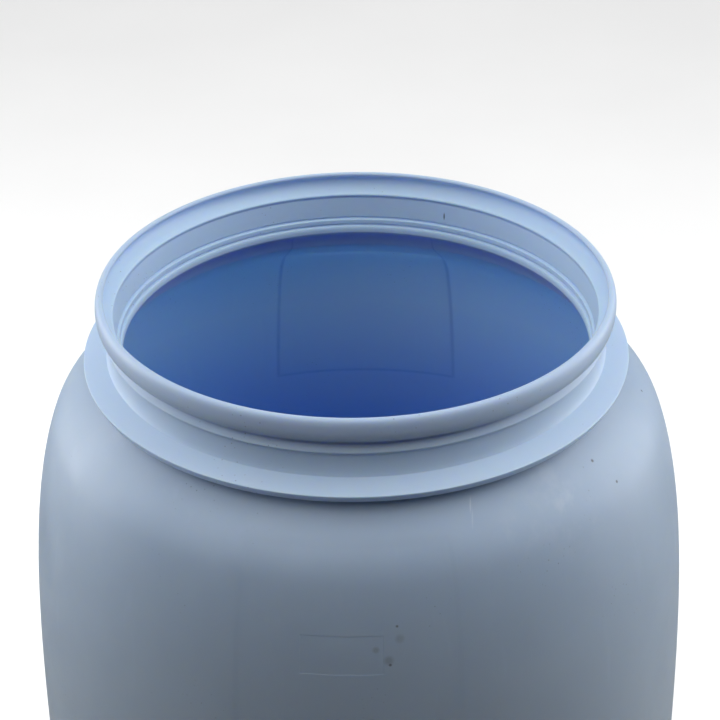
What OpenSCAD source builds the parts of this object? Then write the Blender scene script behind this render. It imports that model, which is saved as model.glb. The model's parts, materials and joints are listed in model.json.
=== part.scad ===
// Open-head plastic drum, standing with its mouth open.
// Its lid and its lever-lock closing ring are off, stacked on the floor behind it.
// Millimetres. +Z up, origin on the floor at the centre of the drum's base, front towards -Y.

/* [Drum] */
// Height of the drum from floor to rim
drum_h = 800; // [780:10:860]
// Largest diameter of the body
body_d = 490; // [480:2:510]
// Outer diameter of the rim bead
rim_d = 367; // [365:0.5:369]
// Outer diameter of the transport flange under the neck
flange_d = 389; // [386:1:393]
// Smallest diameter of the mouth, at the foot of the neck
mouth_d = 332.8; // [331:0.2:333]
// Wall thickness of the body
wall = 4; // [3:0.25:5]
// Depth of the two label panels
panel_depth = 1.1; // [0.6:0.1:1.6]
// Height of the label panels' lower edge below the rim
panel_low = 213; // [190:1:260]
// Width of a label panel, as an angle round the body
panel_angle = 36.6; // [24:0.2:48]

/* [Lid] */
// Wall thickness of the lid
lid_wall = 3; // [2.5:0.1:3.2]
// Number of stiffening ribs under the lid
lid_ribs = 16; // [8:2:24]
// Height of the ribs under the lid
rib_h = 5; // [3:0.5:5.5]

/* [Closing ring] */
// Sheet thickness of the closing ring
sheet = 1.2; // [1:0.1:1.3]
// Angle from the middle of the ring's gap to each end
gap_half = 4.5; // [3.5:0.1:4.8]
// Angle from the lever's pivot to its far end
lever_angle = 39; // [30:1:48]
// Distance from the lever's pivot to the link's pivot
throw = 18; // [16:0.5:19]

/* [Placement] */
// Distance from the drum's axis to the axis of the lid and ring
stack_y = 490; // [480:5:560]

/* [Hidden] */
$fn = 96;

body_r = body_d / 2;
rim_r = rim_d / 2;
flange_r = flange_d / 2;
mouth_r = mouth_d / 2;

// ---- helpers ----

function bezier(p, n) = [for (i = [0:n]) let (t = i / n, s = 1 - t)
    s*s*s*p[0] + 3*s*s*t*p[1] + 3*s*t*t*p[2] + t*t*t*p[3]];
function arc(c, r, a0, a1, n) = [for (i = [0:n]) let (a = a0 + (a1 - a0)*i/n) c + r*[cos(a), sin(a)]];
function reversed(p) = [for (i = [len(p) - 1:-1:0]) p[i]];
// A path moved sideways, to its left as it runs
function beside(p, d) = [for (i = [0:len(p) - 1])
    let (a = p[max(i - 1, 0)], b = p[min(i + 1, len(p) - 1)], t = (b - a)/norm(b - a)) p[i] + d*[-t[1], t[0]]];
// Points given as [radius, depth below the rim], raised to where the rim is
function from_rim(p) = [for (q = p) [q[0], drum_h - q[1]]];

// ---- drum ----

foot_r = body_r - 40;           // outer edge of the flat foot ring
foot_w = 9;                     // width of the foot ring
base_rise = 10;                 // how far the base is pushed up inside the foot ring
belly_z = 0.5375*drum_h;        // height of the widest place
shoulder = [body_r - 25, drum_h - 101];
neck_root = [rim_r - 4, drum_h - 57.5];

function outside_corner() = bezier([[foot_r, 0], [foot_r + 15, 0], [body_r - 18, 14], [body_r - 15.5, 45]], 8);
function outside_lower() = bezier([[body_r - 15.5, 45], [body_r - 8, 138], [body_r, belly_z - 160], [body_r, belly_z]], 12);
function outside_upper() = bezier([[body_r, belly_z], [body_r, belly_z + 115], shoulder + [21, -54], shoulder], 16);
function outside_shoulder() = bezier([shoulder, shoulder + [-9, 23], neck_root + [14.5, -15], neck_root], 8);
function tail(p) = [for (i = [1:len(p) - 1]) p[i]];
function body_outside() = concat(outside_corner(), tail(outside_lower()), tail(outside_upper()), tail(outside_shoulder()));

neck_r = rim_r - 7.5;           // outside of the neck between its ledge and the flange
lip_r = 1.8;                    // radius of the lip on top of the rim
lip_c = [rim_r - 4.4, lip_r];   // its centre, as [radius, depth]

// Outside of the neck from the shoulder up over flange, ledge and bead to the top of the lip
function neck_outside() = from_rim(concat(
    [[rim_r - 3.3, 56.1], [rim_r - 1.6, 55.3]],
    [[flange_r - 2.6, 54.8], [flange_r - 1.6, 54.3], [flange_r - 0.9, 53.2], [flange_r, 51], [flange_r - 0.4, 50.1]],
    bezier([[neck_r + 2, 45.6], [neck_r + 0.2, 41], [neck_r - 0.3, 34.5], [neck_r + 0.4, 28.9]], 8),
    [[neck_r + 1.1, 28], [neck_r + 1.4, 27], [neck_r + 1, 26], [neck_r - 0.5, 23.5]],
    [[neck_r - 1.1, 22.3], [neck_r - 1.1, 20.7], [neck_r - 0.3, 19.5], [rim_r - 4.9, 18.1]],
    bezier([[rim_r - 3.2, 17.3], [rim_r - 1.2, 16.2], [rim_r, 13.2], [rim_r, 9.3]], 7),
    tail(bezier([[rim_r, 9.3], [rim_r, 5], [rim_r - 1.4, 0.9], [rim_r - 3.9, 0.1]], 7)),
    [for (a = [90:15:180]) lip_c + lip_r*[cos(a), -sin(a)]]));

// Inside of the neck from under the lip down past its two ribs to where it opens into the shoulder
function neck_inside() = from_rim(concat(
    bezier([[rim_r - 6, 2.7], [rim_r - 3.8, 5.2], [rim_r - 3.4, 12], [rim_r - 10.9, 14.6]], 8),
    arc([rim_r - 10.9, 16], 1.4, 235, 110, 6),
    [[rim_r - 11.9, 18.8], [rim_r - 14, 32.8], [rim_r - 13.2, 34.2]],
    [[rim_r - 14.8, 34.6], [rim_r - 15.3, 35.4], [rim_r - 15.6, 38.3], [rim_r - 14.8, 39.7]],
    [[rim_r - 16, 40.2], [rim_r - 16.6, 41]],
    [[mouth_r + 0.1, 42], [mouth_r, 42.6], [mouth_r, 45.6],
     [mouth_r + 0.9, 46.9], [mouth_r + 3.4, 49], [mouth_r + 7, 51.4]]));

function drum_section() = concat(
    [[0, base_rise], [foot_r - foot_w - base_rise + 0.5, base_rise], [foot_r - foot_w, 0]],
    body_outside(), neck_outside(), neck_inside(), reversed(beside(body_outside(), wall)),
    [[foot_r - foot_w + 1.8, wall], [foot_r - foot_w - base_rise + 2, base_rise + wall], [0, base_rise + wall]]);

// A shallow cut into the body's outside, from the shoulder to the panel's lower edge
module label_panel(middle) {
    side = [for (p = body_outside()) if (p[1] > drum_h - panel_low && p[1] < drum_h - 64) p];
    rotate([0, 0, middle - panel_angle/2]) rotate_extrude(angle = panel_angle)
        polygon(concat(beside(side, panel_depth), reversed(beside(side, -8))));
}

module drum_body() {
    color("LightSteelBlue") difference() {
        rotate_extrude() polygon(drum_section());
        label_panel(-90);
        label_panel(90);
    }
}

// ---- lid, as it lies on the floor: its seat plane is lid_seat above the floor ----

plug_depth = 14;                    // how far the plug wall hangs below the seat
lid_seat = plug_depth;
plug_r = rim_r - 15.4;              // outside of the plug wall
skirt_r = rim_r + 3.2;              // outside of the outer skirt
gasket_t = 3;
lid_top = gasket_t + lid_wall;      // above the seat
panel_top = -5;                     // top of the recessed middle, above the seat
boss_r = 62;                        // raised middle of the lid
boss_h = 4;

module at_stack(z) { translate([0, stack_y, z]) children(); }

function lid_section() = [
    [0, panel_top + boss_h - lid_wall], [boss_r - 3, panel_top + boss_h - lid_wall],
    [boss_r + 1, panel_top - lid_wall], [plug_r - lid_wall, panel_top - lid_wall],
    [plug_r - lid_wall + 0.6, -plug_depth], [plug_r - 1, -plug_depth], [plug_r, -plug_depth + 2],
    [plug_r, gasket_t], [skirt_r - 2.3, gasket_t], [skirt_r - 2.2, -4], [skirt_r, -4],
    [skirt_r, lid_top - 1.5], [skirt_r - 0.5, lid_top - 0.4], [skirt_r - 1.5, lid_top],
    [plug_r - lid_wall + 0.5, lid_top], [plug_r - lid_wall - 1.2, lid_top - 0.8],
    [plug_r - lid_wall - 2, lid_top - 2.4], [plug_r - lid_wall - 3.2, panel_top + 1.2],
    [plug_r - lid_wall - 4.8, panel_top], [boss_r + 3, panel_top], [boss_r, panel_top + boss_h - 0.6],
    [boss_r - 1.2, panel_top + boss_h], [0, panel_top + boss_h]];

module lid_panel() {
    rib_from = boss_r + 6;
    rib_to = plug_r - lid_wall + 0.5;
    color("SteelBlue") at_stack(lid_seat) {
        rotate_extrude() polygon(lid_section());
        for (i = [0:lid_ribs - 1]) rotate([0, 0, 360*i/lid_ribs])
            translate([rib_from, -1.1, panel_top - lid_wall - rib_h]) cube([rib_to - rib_from, 2.2, rib_h + 0.5]);
        for (ring = [96, 130]) translate([0, 0, panel_top - 0.5]) rotate_extrude()
            polygon([[ring - 3, 0], [ring + 3, 0], [ring + 1.8, 2], [ring - 1.8, 2]]);
    }
}

module lid_gasket() {
    inner = rim_r - 11.5;
    outer = rim_r - 0.6;
    color("DimGray") at_stack(lid_seat) rotate_extrude() polygon(concat(
        [[inner, gasket_t - 0.05], [inner, 1]], arc([inner + 1, 1], 1, 180, 270, 4),
        arc([outer - 1, 1], 1, 270, 360, 4), [[outer, gasket_t - 0.05]]));
}

// ---- closing ring, lying on the lid ----
// Heights are from the lid's seat plane when the ring is closed on the drum, as it was made.

band_in = rim_r + 4;                // inside of the web
band_out = band_in + sheet;
leg_r = rim_r - 5.4;                // inner edge of both legs
leg_top = lid_top + 0.2;            // underside of the upper leg
leg_low = -18;                      // top side of the lower leg, at its inner edge
ring_low = leg_low - sheet - 0.9;   // lowest point of the ring
ring_z = lid_seat + lid_top + 0.3 - ring_low;
mid_z = -6;                         // middle of the band, where the lever works

// The ring's own frame: +Y through the middle of its gap, away from the drum
module at_ring(z = 0) { at_stack(ring_z + z) children(); }
// An angle round the ring, measured clockwise from the middle of the gap
function round_ring(r, u) = [r*sin(u), r*cos(u)];

// Flat outline between two radii and two angles
module ring_sector(r0, r1, u0, u1) {
    intersection() {
        difference() {
            circle(r1);
            circle(r0);
        }
        polygon([[0, 0], round_ring(2*r1, u0), round_ring(2*r1, (u0 + u1)/2), round_ring(2*r1, u1)]);
    }
}
// The same with a thickness, centred on the middle of the band
module curved_plate(r0, r1, u0, u1, half) {
    translate([0, 0, -half]) linear_extrude(2*half) ring_sector(r0, r1, u0, u1);
}

function band_outside() = concat(
    [[leg_r + 0.2, leg_top + 1.9]], arc([band_out - 3, leg_top + sheet - 3], 3, 90, 0, 5),
    arc([band_out - 4, -11], 4, 0, -32, 4), [[leg_r + 0.2, leg_low - sheet - 0.9]]);

module ring_band() {
    // Each leg ends in a small flare
    inside = [[leg_r + 0.4, leg_low - 0.4], [leg_r + 1.6, leg_low],
              [band_in - 3, -12.8], [band_in - 0.7, -11.6], [band_in, -10],
              [band_in, leg_top - 2], [band_in - 0.6, leg_top - 0.6], [band_in - 2, leg_top],
              [leg_r + 1.6, leg_top], [leg_r + 0.4, leg_top + 0.5]];
    color("Silver") at_ring() rotate([0, 0, 90 + gap_half]) rotate_extrude(angle = 360 - 2*gap_half)
        polygon(concat(band_outside(), inside));
}

pivot_r = band_out + 8.8;           // circle that the three pivots lie on
pivot_u = 7.5;                      // lever pivot
bar_u = -8.5;                       // crossbar in its hook
link_u = pivot_u + 2*asin(throw/2/pivot_r);
lever_pivot = round_ring(pivot_r, pivot_u);
link_pivot = round_ring(pivot_r, link_u);
bar_at = round_ring(pivot_r, bar_u);

cheek_z0 = 4;                       // lever's side walls, above and below the middle
cheek_z1 = 5.5;
ear_z0 = 5.8;                       // ears of the two brackets
ear_z1 = 7.3;
pin_r = 2.5;
plate_t = 1.5;                      // thickness of the bracket plates

module mirrored_pair() { for (s = [0, 1]) mirror([0, 0, s]) children(); }

// Outline of a bracket's ear: a round end at the pin and a foot on the bracket's base
module ear(at, u0, u1, r) {
    out = at/norm(at);
    side = [out[1], -out[0]];
    translate(at) circle(r);
    polygon([round_ring(band_out + 0.8, u0), round_ring(band_out + 0.8, u1), at + r*side, at - r*side]);
}
// Both ears, with their pin or seat cut from the outline
module ear_pair() {
    mirrored_pair() translate([0, 0, ear_z0]) linear_extrude(ear_z1 - ear_z0) children();
}
module bracket_base(u0, u1) {
    difference() {
        curved_plate(band_out + 0.05, band_out + 0.05 + plate_t, u0, u1, ear_z1 + 0.4);
        bracket_hole(u0 < 0 ? -rivet_u - 1 : rivet_u);
    }
}

module lever_bracket() {
    color("Gainsboro") at_ring(mid_z) {
        bracket_base(gap_half + 0.4, 15);
        ear_pair() difference() {
            ear(lever_pivot, gap_half + 0.8, 12, 5.2);
            translate(lever_pivot) circle(pin_r + 0.05);
        }
    }
}

module hook_bracket() {
    color("Gainsboro") at_ring(mid_z) {
        bracket_base(-16, -gap_half - 0.4);
        // The seat for the crossbar is open on the side that the bar leaves by
        ear_pair() difference() {
            ear(bar_at + [1.6, 0], -12.6, -gap_half - 0.8, 5.2);
            translate(bar_at) circle(bar_r + 0.4);
            translate(bar_at) polygon([[-20, -1.4], [0, -1.4], [bar_r + 0.3, 0], [bar_r + 1.7, 12], [-20, 12]]);
        }
    }
}

rivet_u = 13.6;                     // a bracket's rivets, as an angle round the ring
rivet_r = 2;
module bracket_hole(u) {
    mirrored_pair() translate([0, 0, 3.6]) rotate([0, 0, -u]) rotate([-90, 0, 0])
        translate([0, 0, band_out]) cylinder(r = rivet_r + 0.05, h = 20, center = true);
}

// Domed heads that hold the two brackets to the band
module bracket_rivets() {
    color("Silver") at_ring(mid_z) for (u = [rivet_u, -rivet_u - 1])
        mirrored_pair() translate([0, 0, 3.6]) rotate([0, 0, -u]) rotate([-90, 0, 0])
            translate([0, 0, band_out + 0.05]) {
                cylinder(r = rivet_r, h = plate_t);
                translate([0, 0, plate_t]) cylinder(r = 3.2, h = 0.6);
                translate([0, 0, plate_t + 0.6]) cylinder(r1 = 3.2, r2 = 2, h = 0.8);
            }
}

bar_r = 2.4;
module link() {
    color("Gainsboro") at_ring(mid_z) difference() {
        union() {
            curved_plate(pivot_r - 5.7, pivot_r - 2.7, bar_u, link_u, 3.5);
            translate(link_pivot) cylinder(r = 4.6, h = 7, center = true);
            translate(bar_at) cylinder(r = 4.6, h = 7, center = true);
        }
        translate(link_pivot) cylinder(r = pin_r + 0.05, h = 20, center = true);
        translate(bar_at) cylinder(r = bar_r + 0.02, h = 20, center = true);
    }
}

module link_crossbar() {
    color("Silver") at_ring(mid_z) translate(bar_at) cylinder(r = bar_r, h = 2*ear_z1 + 3, center = true);
}

module pin_head(z) {
    translate([0, 0, z]) cylinder(r = 4, h = 0.8);
    translate([0, 0, z + 0.8]) cylinder(r1 = 4, r2 = 2.6, h = 1);
}

// Two short rivets, so that the link passes between them
module lever_pivot_rivets() {
    color("Silver") at_ring(mid_z) translate(lever_pivot) mirrored_pair() {
        translate([0, 0, cheek_z0]) cylinder(r = pin_r, h = ear_z1 + 0.05 - cheek_z0);
        pin_head(ear_z1 + 0.05);
    }
}

module link_pivot_rivet() {
    color("Silver") at_ring(mid_z) translate(link_pivot) {
        cylinder(r = pin_r, h = 2*(cheek_z1 + 0.05), center = true);
        mirrored_pair() translate([0, 0, cheek_z1 + 0.05]) cylinder(r1 = 3.6, r2 = 2.6, h = 0.9);
    }
}

lever_end = pivot_u + lever_angle;
web_from = pivot_u + 12.2;          // the web starts beyond the link's swing
web_r = pivot_r + 5.5;
lug_u = lever_end - 8;
// Outline of the lever's side walls
module lever_cheek() {
    difference() {
        union() {
            ring_sector(pivot_r - 4.5, web_r + plate_t, pivot_u, lever_end - 6);
            ring_sector(pivot_r + 1, web_r + plate_t, lever_end - 7, lever_end);
            translate(lever_pivot) circle(5.6);
        }
        translate(lever_pivot) circle(pin_r + 0.05);
        translate(link_pivot) circle(pin_r + 0.02);
    }
}

module lever() {
    tip = round_ring(web_r + plate_t/2, lever_end - 0.5);
    color("Gainsboro") at_ring(mid_z) {
        mirrored_pair() translate([0, 0, cheek_z0]) linear_extrude(cheek_z1 - cheek_z0) lever_cheek();
        difference() {
            curved_plate(web_r, web_r + plate_t - 0.15, web_from, lever_end - 0.3, (cheek_z0 + cheek_z1)/2);
            // Slot that the seal lug stands through
            rotate([0, 0, -lug_u]) translate([-8, 0, -1.8]) cube([16, 300, 3.6]);
        }
        // Thumb tab, standing a little away from the band
        translate([tip[0], tip[1], -7]) rotate([0, 0, -lever_end + 12])
            translate([-1, -0.5, 0]) cube([23, 1.2, 14]);
    }
}

// Upright plate on the band with a hole for a wire seal
module seal_lug() {
    color("Silver") at_ring(mid_z) rotate([0, 0, -lug_u]) difference() {
        union() {
            translate([-5, band_out + 0.3, -0.75]) cube([10, pivot_r + 12 - band_out - 0.3, 1.5]);
            translate([0, 0, -0.75]) translate([0, pivot_r + 12]) cylinder(r = 5, h = 1.5);
            translate([-5, band_out + 0.3, -3.4]) cube([10, 1.2, 6.8]);
        }
        translate([0, pivot_r + 12, -5]) cylinder(r = 2, h = 10);
    }
}

drum_body();
lid_panel();
lid_gasket();
ring_band();
lever_bracket();
hook_bracket();
bracket_rivets();
seal_lug();
lever();
lever_pivot_rivets();
link();
link_pivot_rivet();
link_crossbar();
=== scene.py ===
"""Open-head plastic drum, mouth open, with its lid and lever-lock closing ring stacked behind it.

Lengths in the shape sections are millimetres, scaled to metres when a mesh is made. Materials, lights and
the camera are in metres.
"""

import json
import math

import bmesh
import bpy
from mathutils import Matrix, Vector


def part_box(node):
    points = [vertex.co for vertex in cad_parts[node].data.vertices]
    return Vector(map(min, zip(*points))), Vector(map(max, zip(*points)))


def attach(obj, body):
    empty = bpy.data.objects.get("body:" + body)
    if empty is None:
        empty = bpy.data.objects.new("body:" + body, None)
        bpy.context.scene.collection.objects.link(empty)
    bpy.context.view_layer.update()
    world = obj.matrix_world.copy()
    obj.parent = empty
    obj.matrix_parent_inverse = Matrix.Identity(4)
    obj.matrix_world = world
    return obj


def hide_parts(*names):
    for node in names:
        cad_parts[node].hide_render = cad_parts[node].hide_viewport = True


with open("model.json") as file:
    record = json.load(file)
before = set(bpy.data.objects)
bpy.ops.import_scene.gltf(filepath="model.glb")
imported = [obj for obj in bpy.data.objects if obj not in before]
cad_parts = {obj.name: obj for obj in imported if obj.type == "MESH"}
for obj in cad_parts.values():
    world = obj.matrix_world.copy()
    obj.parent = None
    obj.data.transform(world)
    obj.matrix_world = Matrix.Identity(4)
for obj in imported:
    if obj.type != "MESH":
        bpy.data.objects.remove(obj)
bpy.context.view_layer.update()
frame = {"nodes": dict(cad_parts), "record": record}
MM = 0.001


# ---- paths ----

CORNER_STEPS = 5
SHORTEST_STEP = 0.05


def bezier(a, b, c, d, count):
    """Points of a cubic curve, both ends included."""
    points = []
    for i in range(count + 1):
        t = i / count
        s = 1 - t
        weights = (s**3, 3 * s * s * t, 3 * s * t * t, t**3)
        points.append(tuple(sum(w * p[k] for w, p in zip(weights, (a, b, c, d))) for k in (0, 1)))
    return points


def corner(before, at, after, radius):
    """The corner of a path, rounded."""
    p, a, b = Vector(at), Vector(before) - Vector(at), Vector(after) - Vector(at)
    half = a.angle(b) / 2
    reach = min(radius / math.tan(half), 0.48 * a.length, 0.48 * b.length)
    start, end = p + a.normalized() * reach, p + b.normalized() * reach
    steps = [i / CORNER_STEPS for i in range(CORNER_STEPS + 1)]
    return [tuple((1 - t) ** 2 * start + 2 * t * (1 - t) * p + t * t * end) for t in steps]


def rounded(points, radius):
    """A path with all its corners rounded and its two ends kept."""
    path = [tuple(points[0])]
    for before, at, after in zip(points, points[1:], points[2:]):
        path += corner(before, at, after, radius)
    return path + [tuple(points[-1])]


def between(a, b, t):
    """The point that lies that part of the way from a to b."""
    return a[0] + (b[0] - a[0]) * t, a[1] + (b[1] - a[1]) * t


def spaced(path, longest):
    """The path with points added so that no stretch is longer than that."""
    out = [path[0]]
    for a, b in zip(path, path[1:]):
        steps = max(1, math.ceil(math.dist(a, b) / longest))
        out += [between(a, b, i / steps) for i in range(1, steps + 1)]
    return out


def with_rows(path, heights):
    """The path with points added where it passes those heights."""
    out = [path[0]]
    for a, b in zip(path, path[1:]):
        passed = [h for h in heights if min(a[1], b[1]) < h < max(a[1], b[1])]
        out += [between(a, b, t) for t in sorted((h - a[1]) / (b[1] - a[1]) for h in passed)]
        out.append(b)
    return out


def thinned(path):
    """The path without points that lie on each other."""
    out = [path[0]]
    for point in path[1:]:
        if math.dist(point, out[-1]) > SHORTEST_STEP:
            out.append(point)
    return out


def beside(path, distance):
    """The path moved sideways, to its left as it runs."""
    out = []
    for i, point in enumerate(path):
        a, b = path[max(i - 1, 0)], path[min(i + 1, len(path) - 1)]
        t = (Vector(b) - Vector(a)).normalized()
        out.append((point[0] - t.y * distance, point[1] + t.x * distance))
    return out


def smoothstep(low, high, x):
    t = min(1, max(0, (x - low) / (high - low)))
    return t * t * (3 - 2 * t)


def band(low, high, soft, x):
    """1 between low and high, 0 outside, with soft edges centred on both limits."""
    half = soft / 2
    return smoothstep(low - half, low + half, x) * (1 - smoothstep(high - half, high + half, x))


def angle_from(middle, angle):
    """The angle measured from the middle one, within half a turn to either side."""
    return (angle - middle + math.pi) % math.tau - math.pi


# ---- turned solids ----

ON_AXIS = 1e-6      # a smaller radius is a point on the axis


def even_columns(step):
    """Angles all round, that many degrees apart."""
    return [math.radians(step * i) for i in range(round(360 / step))]


def turned(name, profile, columns, centre, place=None, closed=True, ends=False):
    """A solid turned about a vertical axis.

    profile: (radius, height) points.
    columns: angles in radians, all round or, if not closed, from end to end.
    place(i, radius, height, angle) moves a point of profile row i and returns its radius and height.
    ends joins the last row to the first, for a section that doesn't start and end on the axis.
    """
    rows = []
    vertices = []
    for i, (radius, height) in enumerate(profile):
        if radius < ON_AXIS:
            rows.append([len(vertices)] * len(columns))
            vertices.append((centre.x, centre.y, centre.z + height * MM))
            continue
        row = []
        for angle in columns:
            r, z = place(i, radius, height, angle) if place else (radius, height)
            x, y = r * MM * math.cos(angle), r * MM * math.sin(angle)
            row.append(len(vertices))
            vertices.append((centre.x + x, centre.y + y, centre.z + z * MM))
        rows.append(row)
    if ends:
        rows.append(rows[0])
    faces = []
    across = len(columns) if closed else len(columns) - 1
    for low, high in zip(rows, rows[1:]):
        for k in range(across):
            n = (k + 1) % len(columns)
            face = [low[k], low[n], high[n], high[k]]
            face = [v for j, v in enumerate(face) if v != face[j - 1]]
            if len(face) > 2:
                faces.append(face)
    if not closed:
        faces.append([row[0] for row in rows[:-1]])
        faces.append([row[-1] for row in reversed(rows[:-1])])
    mesh = bpy.data.meshes.new(name)
    mesh.from_pydata(vertices, [], faces)
    mesh.validate()
    mesh.shade_smooth()
    piece = bpy.data.objects.new(name, mesh)
    bpy.context.scene.collection.objects.link(piece)
    return piece


# ---- materials ----

class Shader:
    """A node material built by short calls."""

    def __init__(self, name):
        self.material = bpy.data.materials.new(name)
        self.material.use_nodes = True
        self.nodes = self.material.node_tree.nodes
        self.links = self.material.node_tree.links
        self.surface = self.nodes["Principled BSDF"]
        self.place = self.nodes.new("ShaderNodeTexCoord").outputs["Object"]

    def set(self, **values):
        for name, value in values.items():
            self.surface.inputs[name.replace("_", " ")].default_value = value

    def join(self, source, target):
        self.links.new(source, target)

    def scaled(self, x, y, z):
        node = self.nodes.new("ShaderNodeMapping")
        node.inputs["Scale"].default_value = (x, y, z)
        self.join(self.place, node.inputs["Vector"])
        return node.outputs["Vector"]

    def noise(self, scale, detail=3, roughness=0.5, at=None):
        node = self.nodes.new("ShaderNodeTexNoise")
        node.inputs["Scale"].default_value = scale
        node.inputs["Detail"].default_value = detail
        node.inputs["Roughness"].default_value = roughness
        self.join(at or self.place, node.inputs["Vector"])
        return node.outputs["Fac"]

    def cells(self, scale, output="Distance"):
        node = self.nodes.new("ShaderNodeTexVoronoi")
        node.inputs["Scale"].default_value = scale
        self.join(self.place, node.inputs["Vector"])
        return node.outputs[output]

    def range(self, value, low, high, to_low=0.0, to_high=1.0):
        node = self.nodes.new("ShaderNodeMapRange")
        node.inputs["From Min"].default_value = low
        node.inputs["From Max"].default_value = high
        node.inputs["To Min"].default_value = to_low
        node.inputs["To Max"].default_value = to_high
        self.join(value, node.inputs["Value"])
        return node.outputs["Result"]

    def math(self, operation, a, b):
        node = self.nodes.new("ShaderNodeMath")
        node.operation = operation
        for socket, value in zip(node.inputs, (a, b)):
            if isinstance(value, (int, float)):
                socket.default_value = value
            else:
                self.join(value, socket)
        return node.outputs["Value"]

    def mix(self, factor, a, b):
        node = self.nodes.new("ShaderNodeMix")
        node.data_type = "RGBA"
        for name, value in (("Factor_Float", factor), ("A_Color", a), ("B_Color", b)):
            socket = next(s for s in node.inputs if s.identifier == name)
            if isinstance(value, tuple):
                socket.default_value = (*value, 1)
            else:
                self.join(value, socket)
        return next(s for s in node.outputs if s.identifier == "Result_Color")

    def attribute(self, name):
        node = self.nodes.new("ShaderNodeAttribute")
        node.attribute_name = name
        return node.outputs["Fac"]

    def height(self):
        node = self.nodes.new("ShaderNodeSeparateXYZ")
        self.join(self.place, node.inputs["Vector"])
        return node.outputs["Z"]

    def vector(self, operation, a, b=None):
        node = self.nodes.new("ShaderNodeVectorMath")
        node.operation = operation
        self.join(a, node.inputs[0])
        if b:
            node.inputs[1].default_value = b
        return node.outputs["Value" if operation == "LENGTH" else "Vector"]

    def near(self, point, reach, strength, stretch=(1, 1, 1)):
        """That strength at a point, fading to 0 at the reach; a stretch below 1 lengthens the spot."""
        away = self.vector("MULTIPLY", self.vector("SUBTRACT", self.place, point), stretch)
        fade = self.range(self.vector("LENGTH", away), 0.4 * reach, reach, 1, 0)
        return self.math("MULTIPLY", fade, strength)

    def colour(self, source):
        self.join(source, self.surface.inputs["Base Color"])

    def roughness(self, source):
        self.join(source, self.surface.inputs["Roughness"])

    def bump(self, *layers):
        """Layers are (height, distance in metres, strength)."""
        normal = None
        for height, distance, strength in layers:
            node = self.nodes.new("ShaderNodeBump")
            node.inputs["Distance"].default_value = distance
            node.inputs["Strength"].default_value = strength
            self.join(height, node.inputs["Height"])
            if normal:
                self.join(normal, node.inputs["Normal"])
            normal = node.outputs["Normal"]
        self.join(normal, self.surface.inputs["Normal"])


DRUM_PALE, DRUM_DULL = (0.41, 0.52, 0.67), (0.375, 0.48, 0.63)
DRUM_LOW_SHADE = (0.39, 0.445, 0.50)                                      # painted shade: the lower half of the body made darker and greyer
# painted light: the neck and flange paler and bluer than the body, standing for light through the thin plastic
# and off the flange
NECK_GLOW_OUTSIDE, NECK_GLOW_INSIDE = (0.57, 0.72, 0.92), (0.56, 0.74, 1.0)
DEEP_SHADE_LOW, DEEP_SHADE_HIGH = (0.08, 0.24, 0.64), (0.50, 0.60, 0.88)        # painted shade inside the body: deep blue, darker further down
PANEL_EDGE_SHADE, PANEL_EDGE_SHADE_STRENGTH = (0.20, 0.30, 0.60), 0.3           # painted shade along the outline of the back panel, inside
LOW_SHADE_TO_PALE = (0.40, 0.70)          # heights in metres between which one colour goes over into the next, for painted shade
DEEP_SHADE_LOW_TO_HIGH = (0.50, 0.66)
LID_PALE, LID_DULL = (0.34, 0.45, 0.63), (0.30, 0.41, 0.59)
GRIT = (0.10, 0.12, 0.14)
SCATTER, SCATTER_INSIDE = (0.14, 0.20, 0.32), (0.8, 1.2, 2.0)       # how far red, green, blue light spread

# painted highlight on the right shoulder, blotched like rubbed scuffing
RUBBED_SHEEN, RUBBED_SHEEN_STRENGTH = (0.68, 0.74, 0.80), 0.16
RUBBED_SHEEN_PATCHES = (      # place, reach
    ((0.132, -0.150, 0.726), 0.034),
    ((0.149, -0.157, 0.707), 0.030),
    ((0.112, -0.182, 0.716), 0.022),
)
SCRATCH, SCRATCH_REACH = (0.72, 0.78, 0.84), 0.0007
SCRATCHES = (           # place, stretch, strength
    ((0.0788, -0.175, 0.7317), (1, 0.12, 0.04), 0.40),
    ((0.0801, -0.1822, 0.7265), (1, 0.1, 0.04), 0.22),
)
STAIN = (0.09, 0.08, 0.08)
STAINS = (              # place, reach, strength
    ((0.0318, -0.2261, 0.6717), 0.0012, 0.75),
    ((0.0265, -0.2318, 0.6480), 0.0042, 0.30),
    ((0.0275, -0.2321, 0.6447), 0.0014, 0.75),
    ((0.0182, -0.2312, 0.6559), 0.0030, 0.28),
    ((0.0337, -0.2283, 0.6630), 0.0040, 0.22),
    ((0.1621, -0.1146, 0.7265), 0.0016, 0.75),
    ((0.1792, -0.1164, 0.7109), 0.0014, 0.75),
    ((0.2044, -0.0152, 0.7209), 0.0013, 0.75),
)
NICK = (0.05, 0.08, 0.16)
NICK_SPOT = ((0.0641, 0.1578, 0.7725), 0.0008, 0.85, (1, 0.5, 0.22))    # place, reach, strength, stretch


def drum_painted_light(s, colour):
    """Painted light and shade on the drum's colour, by height and side: darker and greyer low down, paler at the
    neck, deep blue inside and darker further down.
    """
    # painted shade low on the body, fading out towards the shoulder
    colour = s.mix(s.range(s.height(), *LOW_SHADE_TO_PALE), DRUM_LOW_SHADE, colour)
    # painted light on the neck and flange, as strong as the neck attribute says
    colour = s.mix(s.attribute("neck"), colour, s.mix(s.attribute("within"), NECK_GLOW_OUTSIDE, NECK_GLOW_INSIDE))
    # painted shade inside: deep blue, darker lower down
    inside_shade = s.mix(s.range(s.height(), *DEEP_SHADE_LOW_TO_HIGH), DEEP_SHADE_LOW, DEEP_SHADE_HIGH)
    # painted shade along the back panel's recessed edge
    inside_shade = s.mix(s.math("MULTIPLY", s.attribute("panel_edge"), PANEL_EDGE_SHADE_STRENGTH), inside_shade, PANEL_EDGE_SHADE)
    return s.mix(s.attribute("inside"), colour, inside_shade)


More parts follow.
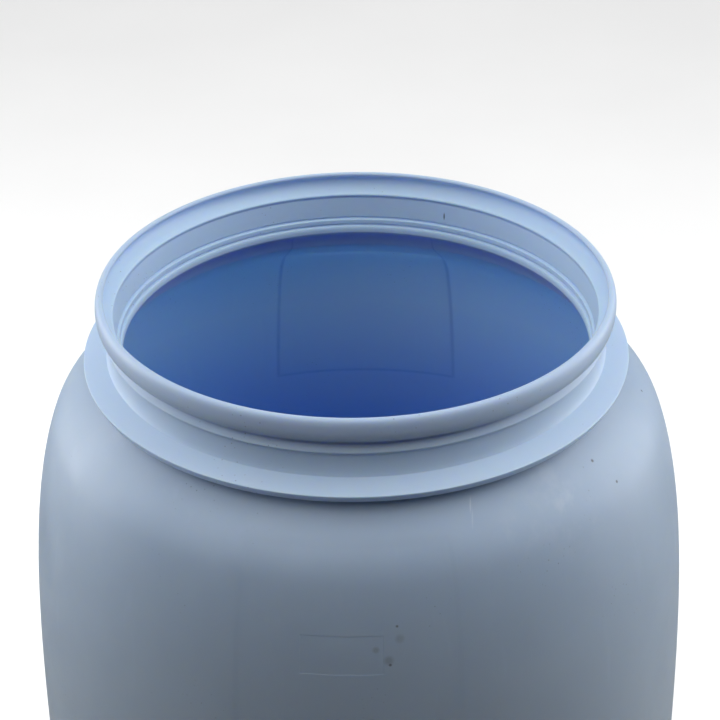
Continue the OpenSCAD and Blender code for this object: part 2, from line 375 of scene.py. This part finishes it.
def drum_marks_and_sheen(s, colour):
    """A painted highlight on a shoulder, blotched like rubbing, and wear: scratches under the flange, stains and
    a nick in the neck.
    """
    # painted highlight, broken up in blotches like scuffing
    scuffed_sheen = s.range(s.noise(42, 4, 0.65), 0.46, 0.66)
    for place, reach in RUBBED_SHEEN_PATCHES:
        colour = s.mix(s.math("MULTIPLY", scuffed_sheen, s.near(place, reach, RUBBED_SHEEN_STRENGTH)), colour, RUBBED_SHEEN)
    for place, stretch, strength in SCRATCHES:
        colour = s.mix(s.near(place, SCRATCH_REACH, strength, stretch), colour, SCRATCH)
    for place, reach, strength in STAINS:
        colour = s.mix(s.near(place, reach, strength), colour, STAIN)
    return s.mix(s.near(*NICK_SPOT), colour, NICK)


def polyethylene(name, pale, dull, of_drum=False):
    """Satin moulded plastic: mottled colour, a faint grain, fine streaks and a few dark specks; on the drum also
    painted light and shade and a painted highlight.
    """
    s = Shader(name)
    colour = s.mix(s.range(s.noise(7, 4, 0.55), 0.35, 0.68), pale, dull)
    if of_drum:
        colour = drum_painted_light(s, colour)
    streaks = s.range(s.noise(60, 3, 0.6, s.scaled(1, 1, 0.07)), 0.62, 0.8, 0, 0.12)
    colour = s.mix(streaks, colour, tuple(min(1, 1.25 * c + 0.04) for c in pale))
    patch = s.range(s.noise(11, 2, 0.5, s.scaled(1.3, 0.8, 1.1)), 0.58, 0.66)
    specks = s.math("MULTIPLY", s.range(s.cells(210), 0.14, 0.05), patch)
    colour = s.mix(s.math("MULTIPLY", specks, 0.5), colour, GRIT)
    s.colour(drum_marks_and_sheen(s, colour) if of_drum else colour)
    s.roughness(s.range(s.noise(23, 4, 0.6), 0.3, 0.75, 0.40, 0.56))
    s.set(IOR=1.5, Specular_IOR_Level=0.42)
    s.set(Subsurface_Weight=0.7, Subsurface_Scale=0.01, Subsurface_Radius=SCATTER)
    if of_drum:
        scatter = s.mix(s.attribute("inside"), SCATTER, SCATTER_INSIDE)
        s.join(scatter, s.surface.inputs["Subsurface Radius"])
    s.bump((s.noise(9, 3, 0.5), 0.0016, 0.22), (s.noise(1500, 2, 0.5), 0.00006, 0.5))
    return s.material


def zinc(name, base, dark, roughness, spangle):
    """Zinc on steel: crystal spangle, drawn streaks and dull handling marks."""
    s = Shader(name)
    crystals = s.math("MULTIPLY", s.range(s.cells(95, "Color"), 0.1, 0.9), spangle)
    marks = s.math("MULTIPLY", s.range(s.noise(45, 5, 0.65), 0.42, 0.72), 0.5)
    s.colour(s.mix(s.math("ADD", marks, crystals), base, dark))
    s.roughness(s.range(s.noise(120, 4, 0.7), 0.3, 0.7, *roughness))
    s.set(Metallic=0.8)
    s.bump((s.noise(800, 3, 0.6, s.scaled(1, 1, 4)), 0.00008, 0.35), (s.noise(30, 2, 0.5), 0.0004, 0.15))
    return s.material


def rubber(name):
    """Black rubber with a fine grain, greyer in patches."""
    s = Shader(name)
    bloom = s.range(s.noise(60, 4, 0.6), 0.35, 0.7)
    s.colour(s.mix(bloom, (0.018, 0.018, 0.02), (0.045, 0.045, 0.047)))
    s.roughness(s.range(s.noise(200, 3, 0.6), 0.3, 0.7, 0.62, 0.82))
    s.bump((s.noise(900, 3, 0.6), 0.0001, 0.5))
    return s.material


plastic_drum = polyethylene("drum_polyethylene", DRUM_PALE, DRUM_DULL, of_drum=True)
plastic_lid = polyethylene("lid_polyethylene", LID_PALE, LID_DULL)
zinc_band = zinc("band_zinc", (0.80, 0.81, 0.83), (0.55, 0.57, 0.60), (0.38, 0.55), 0.5)
zinc_fittings = zinc("fittings_zinc", (0.84, 0.84, 0.83), (0.66, 0.66, 0.65), (0.34, 0.50), 0.15)
zinc_rivets = zinc("rivets_zinc", (0.78, 0.78, 0.79), (0.52, 0.53, 0.55), (0.36, 0.52), 0.1)
gasket_rubber = rubber("gasket_rubber")


def finish_with(piece, material):
    piece.data.materials.clear()
    piece.data.materials.append(material)


def round_edges(piece, width):
    bevel = piece.modifiers.new("edges", "BEVEL")
    bevel.width = width * MM
    bevel.segments = 2
    bevel.limit_method = "ANGLE"
    bevel.angle_limit = math.radians(35)
    bevel.harden_normals = True


# ---- drum ----

body_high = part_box("drum_body")[1]
DRUM_H = body_high.z / MM
BODY_R = body_high.x / MM
MOUTH_R = next(m for m in frame["record"]["mounts"] if m["name"] == "mouth")["dims"]["r_mm"]
RIM_R = 183.5
FLANGE_R = 194.5
WALL = 4.0
FOOT_R = BODY_R - 40
FOOT_W = 9.0
BASE_RISE = 10.0
BELLY_Z = 0.5375 * DRUM_H
NECK_R = RIM_R - 7.5                    # outside of the neck between its ledge and the flange
LIP_R = 1.8                             # radius of the lip on top of the rim
FRONT, BACK = -math.pi / 2, math.pi / 2
FRONT_PANEL_DEPTH, BACK_PANEL_DEPTH = 0.25, 0.9
PANEL_TOP, PANEL_LOW = 66.0, 213.0      # edges of the label panels below the rim
PANEL_HALF = math.radians(18.3)
PANEL_EDGE = 6.0                        # width of the panels' sloping edge
PLAIN_DEPTH = 60                        # nothing is pressed in above this depth below the rim
MARK_HALF_W = 27.8                      # marking frame in the front panel
MARK_TOP, MARK_LOW = 134.5, 162.0
MARK_LINE, MARK_DEPTH = 1.3, 0.14
MARK_EDGE = 0.5                         # width of the marking line's sloping edges
MARK_MIDDLE = math.radians(-91)
MARK_R = BODY_R - 9                     # the body's radius where the marking frame is
PANEL_STEPS = (-2, -1.4, -0.8, -0.3, 0.3, 0.8, 1.4, 2)             # rows of points round an edge's middle
MARK_STEPS = (-1, -0.7, -0.4, -0.15, 0.15, 0.4, 0.7, 1)


def body_outside():
    """The body's outside from the foot ring up to the root of the neck."""
    heel = (BODY_R - 15.5, 45)
    belly = (BODY_R, BELLY_Z)
    shoulder = (BODY_R - 25, DRUM_H - 101)
    root = (RIM_R - 4, DRUM_H - 57.5)
    foot = bezier((FOOT_R, 0), (FOOT_R + 15, 0), (BODY_R - 18, 14), heel, 10)
    lower = bezier(heel, (BODY_R - 8, 138), (BODY_R, BELLY_Z - 160), belly, 20)
    upper = bezier(belly, (BODY_R, BELLY_Z + 115), (shoulder[0] + 21, shoulder[1] - 54), shoulder, 40)
    top = bezier(shoulder, (shoulder[0] - 9, shoulder[1] + 23), (root[0] + 14.5, root[1] - 15), root, 20)
    return foot + lower[1:] + upper[1:] + top[1:]


def from_rim(path):
    """Points given as (radius, depth below the rim), raised to where the rim is."""
    return [(r, DRUM_H - depth) for r, depth in path]


def circle(centre, radius, degrees):
    """Points of a circle at those angles."""
    angles = [math.radians(a) for a in degrees]
    return [(centre[0] + radius * math.cos(a), centre[1] + radius * math.sin(a)) for a in angles]


def neck_outside():
    """From the shoulder up over flange, ledge and bead to the top of the lip."""
    flange = rounded(
        [(RIM_R - 4, 57.5), (RIM_R - 3.3, 56), (RIM_R - 0.5, 55), (FLANGE_R - 1.8, 54.8),
         (FLANGE_R, 49.9), (NECK_R + 2, 45.6), (NECK_R + 1.1, 43.2)], 0.8)[1:-1]
    neck = bezier((NECK_R + 1.2, 43.4), (NECK_R + 0.2, 40), (NECK_R - 0.3, 34.5), (NECK_R + 0.4, 29), 14)
    ledge = rounded(
        [neck[-1], (NECK_R + 2.7, 27.1), (NECK_R - 1.2, 22.6), (NECK_R - 1.1, 19.9),
         (RIM_R - 4.9, 18.1)], 1.1)
    under = bezier((RIM_R - 3.4, 17.4), (RIM_R - 1.2, 16.3), (RIM_R, 13.2), (RIM_R, 9.3), 14)
    bead = bezier((RIM_R, 9.3), (RIM_R, 4.4), (RIM_R - 0.9, 0.5), (RIM_R - 3.9, 0.1), 16)
    lip = circle((RIM_R - 4.4, LIP_R), LIP_R, range(-90, -190, -10))
    return from_rim(flange + neck[1:-1] + ledge + under + bead[1:] + lip)


def neck_inside():
    """From under the lip down past the two ribs to where the neck opens into the shoulder."""
    hollow = bezier((RIM_R - 5.7, 3.2), (RIM_R - 1.5, 4.0), (RIM_R - 2.8, 11.6), (RIM_R - 10.9, 14.6), 24)
    nose = circle((RIM_R - 10.9, 16), 1.4, range(240, 108, -12))
    ribs = rounded(
        [(RIM_R - 11.9, 18.8), (RIM_R - 14, 33.3), (RIM_R - 12.4, 34.7), (RIM_R - 15.4, 35.5),
         (RIM_R - 15.6, 38.6), (RIM_R - 14, 40.1), (RIM_R - 16.5, 40.9), (MOUTH_R + 0.2, 42)], 0.5)[:-1]
    mouth = rounded(
        [(MOUTH_R + 0.2, 42), (MOUTH_R, 42.8), (MOUTH_R, 45.6), (MOUTH_R + 1.4, 47.6),
         (MOUTH_R + 7, 51.4)], 1.0)
    return from_rim(hollow + nose + ribs + mouth)


def drum_profile():
    """The drum's section, and the row where its inside starts."""
    base_r = FOOT_R - FOOT_W
    under = rounded([(0, BASE_RISE), (base_r - BASE_RISE, BASE_RISE), (base_r, 0), (FOOT_R, 0)], 4)[:-1]
    outside = spaced(under, 22) + body_outside() + neck_outside()
    floor_z = BASE_RISE + WALL
    floor_in = rounded([(base_r + 1.8, WALL), (base_r - BASE_RISE + 2, floor_z), (0, floor_z)], 4)
    inside = neck_inside() + beside(body_outside()[::2], WALL)[::-1] + spaced(floor_in, 22)
    panel_rows = [DRUM_H - PANEL_LOW + d for d in PANEL_STEPS]
    mark_rows = [DRUM_H - edge + d for edge in (MARK_TOP, MARK_LOW) for d in MARK_STEPS]
    outside = with_rows(thinned(outside), panel_rows + mark_rows)
    return outside + with_rows(thinned(inside), panel_rows), len(outside)


def drum_columns():
    """Angles round the drum, closer together where a panel's or the marking frame's edge is."""
    angles = set(even_columns(2))
    for side in (-1, 1):
        for middle in (FRONT, BACK):
            edge = middle + side * PANEL_HALF
            angles |= {edge + math.radians(0.1) * i for i in range(-6, 7)}
        edge = MARK_MIDDLE + side * MARK_HALF_W / MARK_R
        angles |= {edge + math.radians(0.06) * i for i in range(-4, 5)}
    ordered = sorted(a % math.tau for a in angles)
    kept = [ordered[0]]
    for a in ordered[1:]:
        if a - kept[-1] > math.radians(0.045):
            kept.append(a)
    return kept


def pressed_in(depth, angle, outside):
    """How far the wall is pressed in by the label panels and, on its outside, by the marking frame."""
    turn = min(abs(angle_from(FRONT, angle)), abs(angle_from(BACK, angle)))
    panel = FRONT_PANEL_DEPTH if math.sin(angle) < 0 else BACK_PANEL_DEPTH
    panel *= band(PANEL_TOP, PANEL_LOW, PANEL_EDGE, depth)
    panel *= band(-PANEL_HALF, PANEL_HALF, PANEL_EDGE / BODY_R, turn)
    if not outside:
        return panel
    across = angle_from(MARK_MIDDLE, angle) * MARK_R
    outer, inner = (
        band(MARK_TOP + line, MARK_LOW - line, MARK_EDGE, depth)
        * band(-MARK_HALF_W + line, MARK_HALF_W - line, MARK_EDGE, across)
        for line in (0, MARK_LINE))
    return panel + MARK_DEPTH * (outer - inner)


def drum_place(profile, inside_from):
    """Where a point of the drum lies once panels and marking frame are pressed into the plain section."""
    def place(i, radius, height, angle):
        depth = DRUM_H - height
        if depth < PLAIN_DEPTH or radius < FOOT_R:
            return radius, height
        a, b = profile[max(i - 1, 0)], profile[min(i + 1, len(profile) - 1)]
        along = (Vector(b) - Vector(a)).normalized()
        outside = i < inside_from
        outward = Vector((along.y, -along.x)) if outside else Vector((-along.y, along.x))
        push = -pressed_in(depth, angle, outside)
        return radius + outward.x * push, height + outward.y * push
    return place


def back_panel_shade_mask(point):
    """Where painted shade falls along the back panel's edge: 1 on its sides and lower edge, fading out 2 mm to
    either side.
    """
    across = (abs(math.atan2(point.x, point.y)) - PANEL_HALF) * BODY_R
    below = DRUM_H - point.z / MM - PANEL_LOW
    return 1 - smoothstep(0.3, 2, abs(max(across, below)))


def neck_glow_strength(depth, within):
    """How much of the painted light on the neck (its paler colour) shows: all inside it, less outside, none below
    the flange.
    """
    outside = 0.65 + 0.05 * smoothstep(16, 26, depth) + 0.2 * smoothstep(43, 46, depth)
    return (1 - smoothstep(54, 58, depth)) * (1 if within else outside)


def make_drum():
    profile, inside_from = drum_profile()
    columns = drum_columns()
    piece = turned("drum_shell", profile, columns, Vector((0, 0, 0)), drum_place(profile, inside_from))
    rows = []
    for i, (radius, _) in enumerate(profile):
        rows += [i] * (1 if radius < ON_AXIS else len(columns))
    # "within" is 1 on the whole inner side, "inside" grows there from the mouth down into the drum and brings in
    # the painted shade inside
    values = {"inside": [], "neck": [], "within": [], "panel_edge": []}
    for row, vertex in zip(rows, piece.data.vertices):
        depth = DRUM_H - profile[row][1]
        within = row >= inside_from
        values["inside"].append(smoothstep(44, 60, depth) if within else 0.0)
        values["neck"].append(neck_glow_strength(depth, within))
        values["within"].append(1.0 if within else 0.0)
        values["panel_edge"].append(back_panel_shade_mask(vertex.co) if within else 0.0)
    for name in values:
        piece.data.attributes.new(name, "FLOAT", "POINT").data.foreach_set("value", values[name])
    finish_with(piece, plastic_drum)
    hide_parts("drum_body")
    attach(piece, "drum")


# ---- lid and gasket, lying behind the drum ----

STACK = Vector((0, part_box("lid_panel")[0].y + (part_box("lid_panel")[1].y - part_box("lid_panel")[0].y) / 2, 0))
PLUG_DEPTH = 14.0                       # also the height of the lid's seat above the floor
PLUG_R = RIM_R - 15.4
SKIRT_R = RIM_R + 3.2
GASKET = 3.0
LID_WALL = 3.0
LID_TOP = GASKET + LID_WALL
LID_MIDDLE = -5.0                       # top of the recessed middle, from the seat
LID_RINGS = (130, 96)                   # radii of the raised rings in the middle
BOSS_R, BOSS_H = 62.0, 4.0
LID_RIBS, RIB_H, RIB_W = 16, 5.0, 2.2


def lid_path():
    """The lid's section, from its axis underneath round the rim to its axis on top."""
    well = PLUG_R - LID_WALL
    low = LID_MIDDLE - LID_WALL
    under = rounded(
        [(0, low + BOSS_H), (BOSS_R - 3, low + BOSS_H), (BOSS_R + 1, low), (well, low),
         (well + 0.6, -PLUG_DEPTH), (PLUG_R - 0.3, -PLUG_DEPTH), (PLUG_R, GASKET), (SKIRT_R - 2.3, GASKET),
         (SKIRT_R - 2.2, -4), (SKIRT_R, -4), (SKIRT_R, LID_TOP), (well - 1, LID_TOP),
         (well - 2.6, LID_TOP - 4), (well - 3.2, LID_MIDDLE), (LID_RINGS[0] + 3, LID_MIDDLE)], 1.3)[:-1]
    rings = []
    for middle in LID_RINGS:
        rings += [(middle + 3, LID_MIDDLE), (middle + 1.6, LID_MIDDLE + 1.5),
                  (middle - 1.6, LID_MIDDLE + 1.5), (middle - 3, LID_MIDDLE)]
    boss = [(BOSS_R + 3, LID_MIDDLE), (BOSS_R - 0.5, LID_MIDDLE + BOSS_H), (0, LID_MIDDLE + BOSS_H)]
    top = rounded([under[-1]] + rings + boss, 1.0)
    return [(r, h + PLUG_DEPTH) for r, h in spaced(thinned(under + top[1:]), 18)]


def make_lid():
    lid = turned("lid_shell", lid_path(), even_columns(2), STACK)
    finish_with(lid, plastic_lid)
    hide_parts("lid_panel")
    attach(lid, "lid")


def make_lid_ribs():
    """Straight ribs under the lid, from the boss out to the plug wall."""
    low, high = BOSS_R + 6, PLUG_R - LID_WALL + 0.4
    middle = Vector(((low + high) / 2, 0, PLUG_DEPTH + LID_MIDDLE - LID_WALL - RIB_H / 2 + 0.2)) * MM
    size = Matrix.Diagonal(((high - low) * MM, RIB_W * MM, (RIB_H + 0.4) * MM, 1))
    shapes = bmesh.new()
    for i in range(LID_RIBS):
        turn = Matrix.Rotation(math.tau * i / LID_RIBS, 4, "Z")
        place = Matrix.Translation(STACK) @ turn @ Matrix.Translation(middle)
        bmesh.ops.create_cube(shapes, size=1, matrix=place @ size)
    mesh = bpy.data.meshes.new("lid_ribs")
    shapes.to_mesh(mesh)
    shapes.free()
    ribs = bpy.data.objects.new("lid_ribs", mesh)
    bpy.context.scene.collection.objects.link(ribs)
    round_edges(ribs, 0.4)
    finish_with(ribs, plastic_lid)
    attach(ribs, "lid")


def make_gasket():
    """A flat ring in the lid's seat, its two lower edges rounded."""
    inner, outer = RIM_R - 11.5, RIM_R - 0.6
    path = rounded([(inner, GASKET - 0.05), (inner, 0), (outer, 0), (outer, GASKET - 0.05)], 1.0)
    path = [(r, h + PLUG_DEPTH) for r, h in path]
    gasket = turned("gasket_ring", path, even_columns(2), STACK, ends=True)
    finish_with(gasket, gasket_rubber)
    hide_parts("lid_gasket")
    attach(gasket, "lid")


# ---- band of the closing ring, lying on the lid ----

SHEET = 1.2
BAND_IN = RIM_R + 4
BAND_OUT = BAND_IN + SHEET
LEG_R = RIM_R - 5.4
LEG_TOP, LEG_LOW = LID_TOP + 0.2, -18.0
RING_Z = PLUG_DEPTH + LID_TOP + 0.3 - (LEG_LOW - SHEET - 0.9)
GAP_HALF = 4.5                          # half of the gap at the lever, degrees
BAND_STEPS = 200


def make_band():
    """A rolled channel: its web upright, both legs turned inwards, the lower one sloping."""
    outside = rounded(
        [(LEG_R + 0.2, LEG_TOP + 1.9), (LEG_R + 2.2, LEG_TOP + SHEET), (BAND_OUT, LEG_TOP + SHEET),
         (BAND_OUT, -12.5), (LEG_R + 0.2, LEG_LOW - SHEET - 0.9)], 2.6)
    inside = rounded(
        [(LEG_R + 0.4, LEG_LOW - 0.4), (LEG_R + 1.6, LEG_LOW), (BAND_IN, -11.6), (BAND_IN, LEG_TOP),
         (LEG_R + 1.6, LEG_TOP), (LEG_R + 0.4, LEG_TOP + 0.5)], 1.4)
    path = [(r, h + RING_Z) for r, h in spaced(outside + inside, 3)]
    start, sweep = math.radians(90 + GAP_HALF), math.radians(360 - 2 * GAP_HALF)
    columns = [start + sweep * i / BAND_STEPS for i in range(BAND_STEPS + 1)]
    band_piece = turned("band_channel", path, columns, STACK, closed=False, ends=True)
    finish_with(band_piece, zinc_band)
    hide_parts("ring_band")
    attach(band_piece, "ring")


# ---- carried-over CAD pieces ----

def soften(node, material, width):
    """Gives a CAD piece rounded edges and its material."""
    piece = frame["nodes"][node]
    weld = piece.modifiers.new("weld", "WELD")
    weld.merge_threshold = 1e-6
    round_edges(piece, width)
    finish_with(piece, material)


make_drum()
make_lid()
make_lid_ribs()
make_gasket()
make_band()
for name in ("lever_bracket", "hook_bracket", "seal_lug", "lever", "link"):
    soften(name, zinc_fittings, 0.3)
for name in ("bracket_rivets", "lever_pivot_rivets", "link_pivot_rivet", "link_crossbar"):
    soften(name, zinc_rivets, 0.2)


# ---- stage ----

FLOOR_SIZE = 60
BACKGROUND = 0.02                       # strength of the world's even light
SUNS = (                                # name, place, energy, width in degrees
    ("sky", (0, 0, 4), 1.83, 100),
    ("right_fill", (3.06, 0, 2.57), 0.52, 50),
    ("left_fill", (-2.17, -2.17, 2.57), 0.42, 50),
)
SOFT_BOXES = (                          # name, place, watts
    ("left_side", (-1.85, 0.6, 1.0), 27),
    ("right_side", (1.85, 0.6, 1.0), 25),
)
BOX_TARGET = (0, 0, 0.55)
BOX_WIDTH, BOX_HEIGHT = 1.4, 1.6

CAMERA_DISTANCE = 1.472                 # from the middle of the rim
CAMERA_AZIMUTH, CAMERA_ELEVATION = math.radians(2.0), math.radians(28.58)
LOOK_BELOW, LOOK_ASIDE = math.radians(2.13), math.radians(0.10)
CAMERA_ROLL = math.radians(0.76)
CAMERA_LENS, CAMERA_SENSOR = 104.34, 36


def make_floor():
    bpy.ops.mesh.primitive_plane_add(size=FLOOR_SIZE)
    floor = bpy.context.object
    floor.name = "floor"
    s = Shader("floor_paper")
    s.colour(s.mix(s.range(s.noise(3, 2), 0.3, 0.7), (0.93, 0.93, 0.93), (0.95, 0.95, 0.95)))
    s.set(Roughness=0.9)
    finish_with(floor, s.material)
    floor.visible_diffuse = False
    floor.visible_glossy = False


def hang(lamp, place, target):
    """Puts a light in its place, aimed at the target."""
    thing = bpy.data.objects.new(lamp.name, lamp)
    bpy.context.scene.collection.objects.link(thing)
    thing.location = place
    thing.rotation_euler = (Vector(target) - Vector(place)).to_track_quat("-Z", "Y").to_euler()
    return thing


def make_lights():
    """Soft light from a wide patch of ceiling, two weaker patches and a soft box at either side."""
    world = bpy.data.worlds.new("studio")
    bpy.context.scene.world = world
    world.use_nodes = True
    world.node_tree.nodes["Background"].inputs["Color"].default_value = (1, 1, 1, 1)
    world.node_tree.nodes["Background"].inputs["Strength"].default_value = BACKGROUND
    for name, place, energy, width in SUNS:
        lamp = bpy.data.lights.new(name, "SUN")
        lamp.energy = energy
        lamp.angle = math.radians(width)
        hang(lamp, place, (0, 0, 0))
    for name, place, watts in SOFT_BOXES:
        lamp = bpy.data.lights.new(name, "AREA")
        lamp.shape = "RECTANGLE"
        lamp.size, lamp.size_y, lamp.energy = BOX_WIDTH, BOX_HEIGHT, watts
        hang(lamp, place, BOX_TARGET).visible_camera = False


def make_camera():
    """A metre and a half from the middle of the rim and well above it, looking a little below it."""
    level = math.cos(CAMERA_ELEVATION)
    back = Vector((
        math.sin(CAMERA_AZIMUTH) * level, -math.cos(CAMERA_AZIMUTH) * level, math.sin(CAMERA_ELEVATION)))
    forward = -back
    right = forward.cross(Vector((0, 0, 1))).normalized()
    up = right.cross(forward)
    turn = Matrix.Rotation(-LOOK_ASIDE, 3, up)
    forward, right = turn @ forward, turn @ right
    turn = Matrix.Rotation(-LOOK_BELOW, 3, right)
    forward, up = turn @ forward, turn @ up
    turn = Matrix.Rotation(CAMERA_ROLL, 3, forward)
    right, up = turn @ right, turn @ up
    data = bpy.data.cameras.new("camera")
    data.sensor_width = CAMERA_SENSOR
    data.lens = CAMERA_LENS
    camera = bpy.data.objects.new("camera", data)
    bpy.context.scene.collection.objects.link(camera)
    axes = Matrix((right, up, -forward)).transposed()
    place = Vector((0, 0, body_high.z)) + back * CAMERA_DISTANCE
    camera.matrix_world = Matrix.Translation(place) @ axes.to_4x4()
    bpy.context.scene.camera = camera


make_floor()
make_lights()
make_camera()
bpy.context.scene.view_settings.view_transform = "Standard"
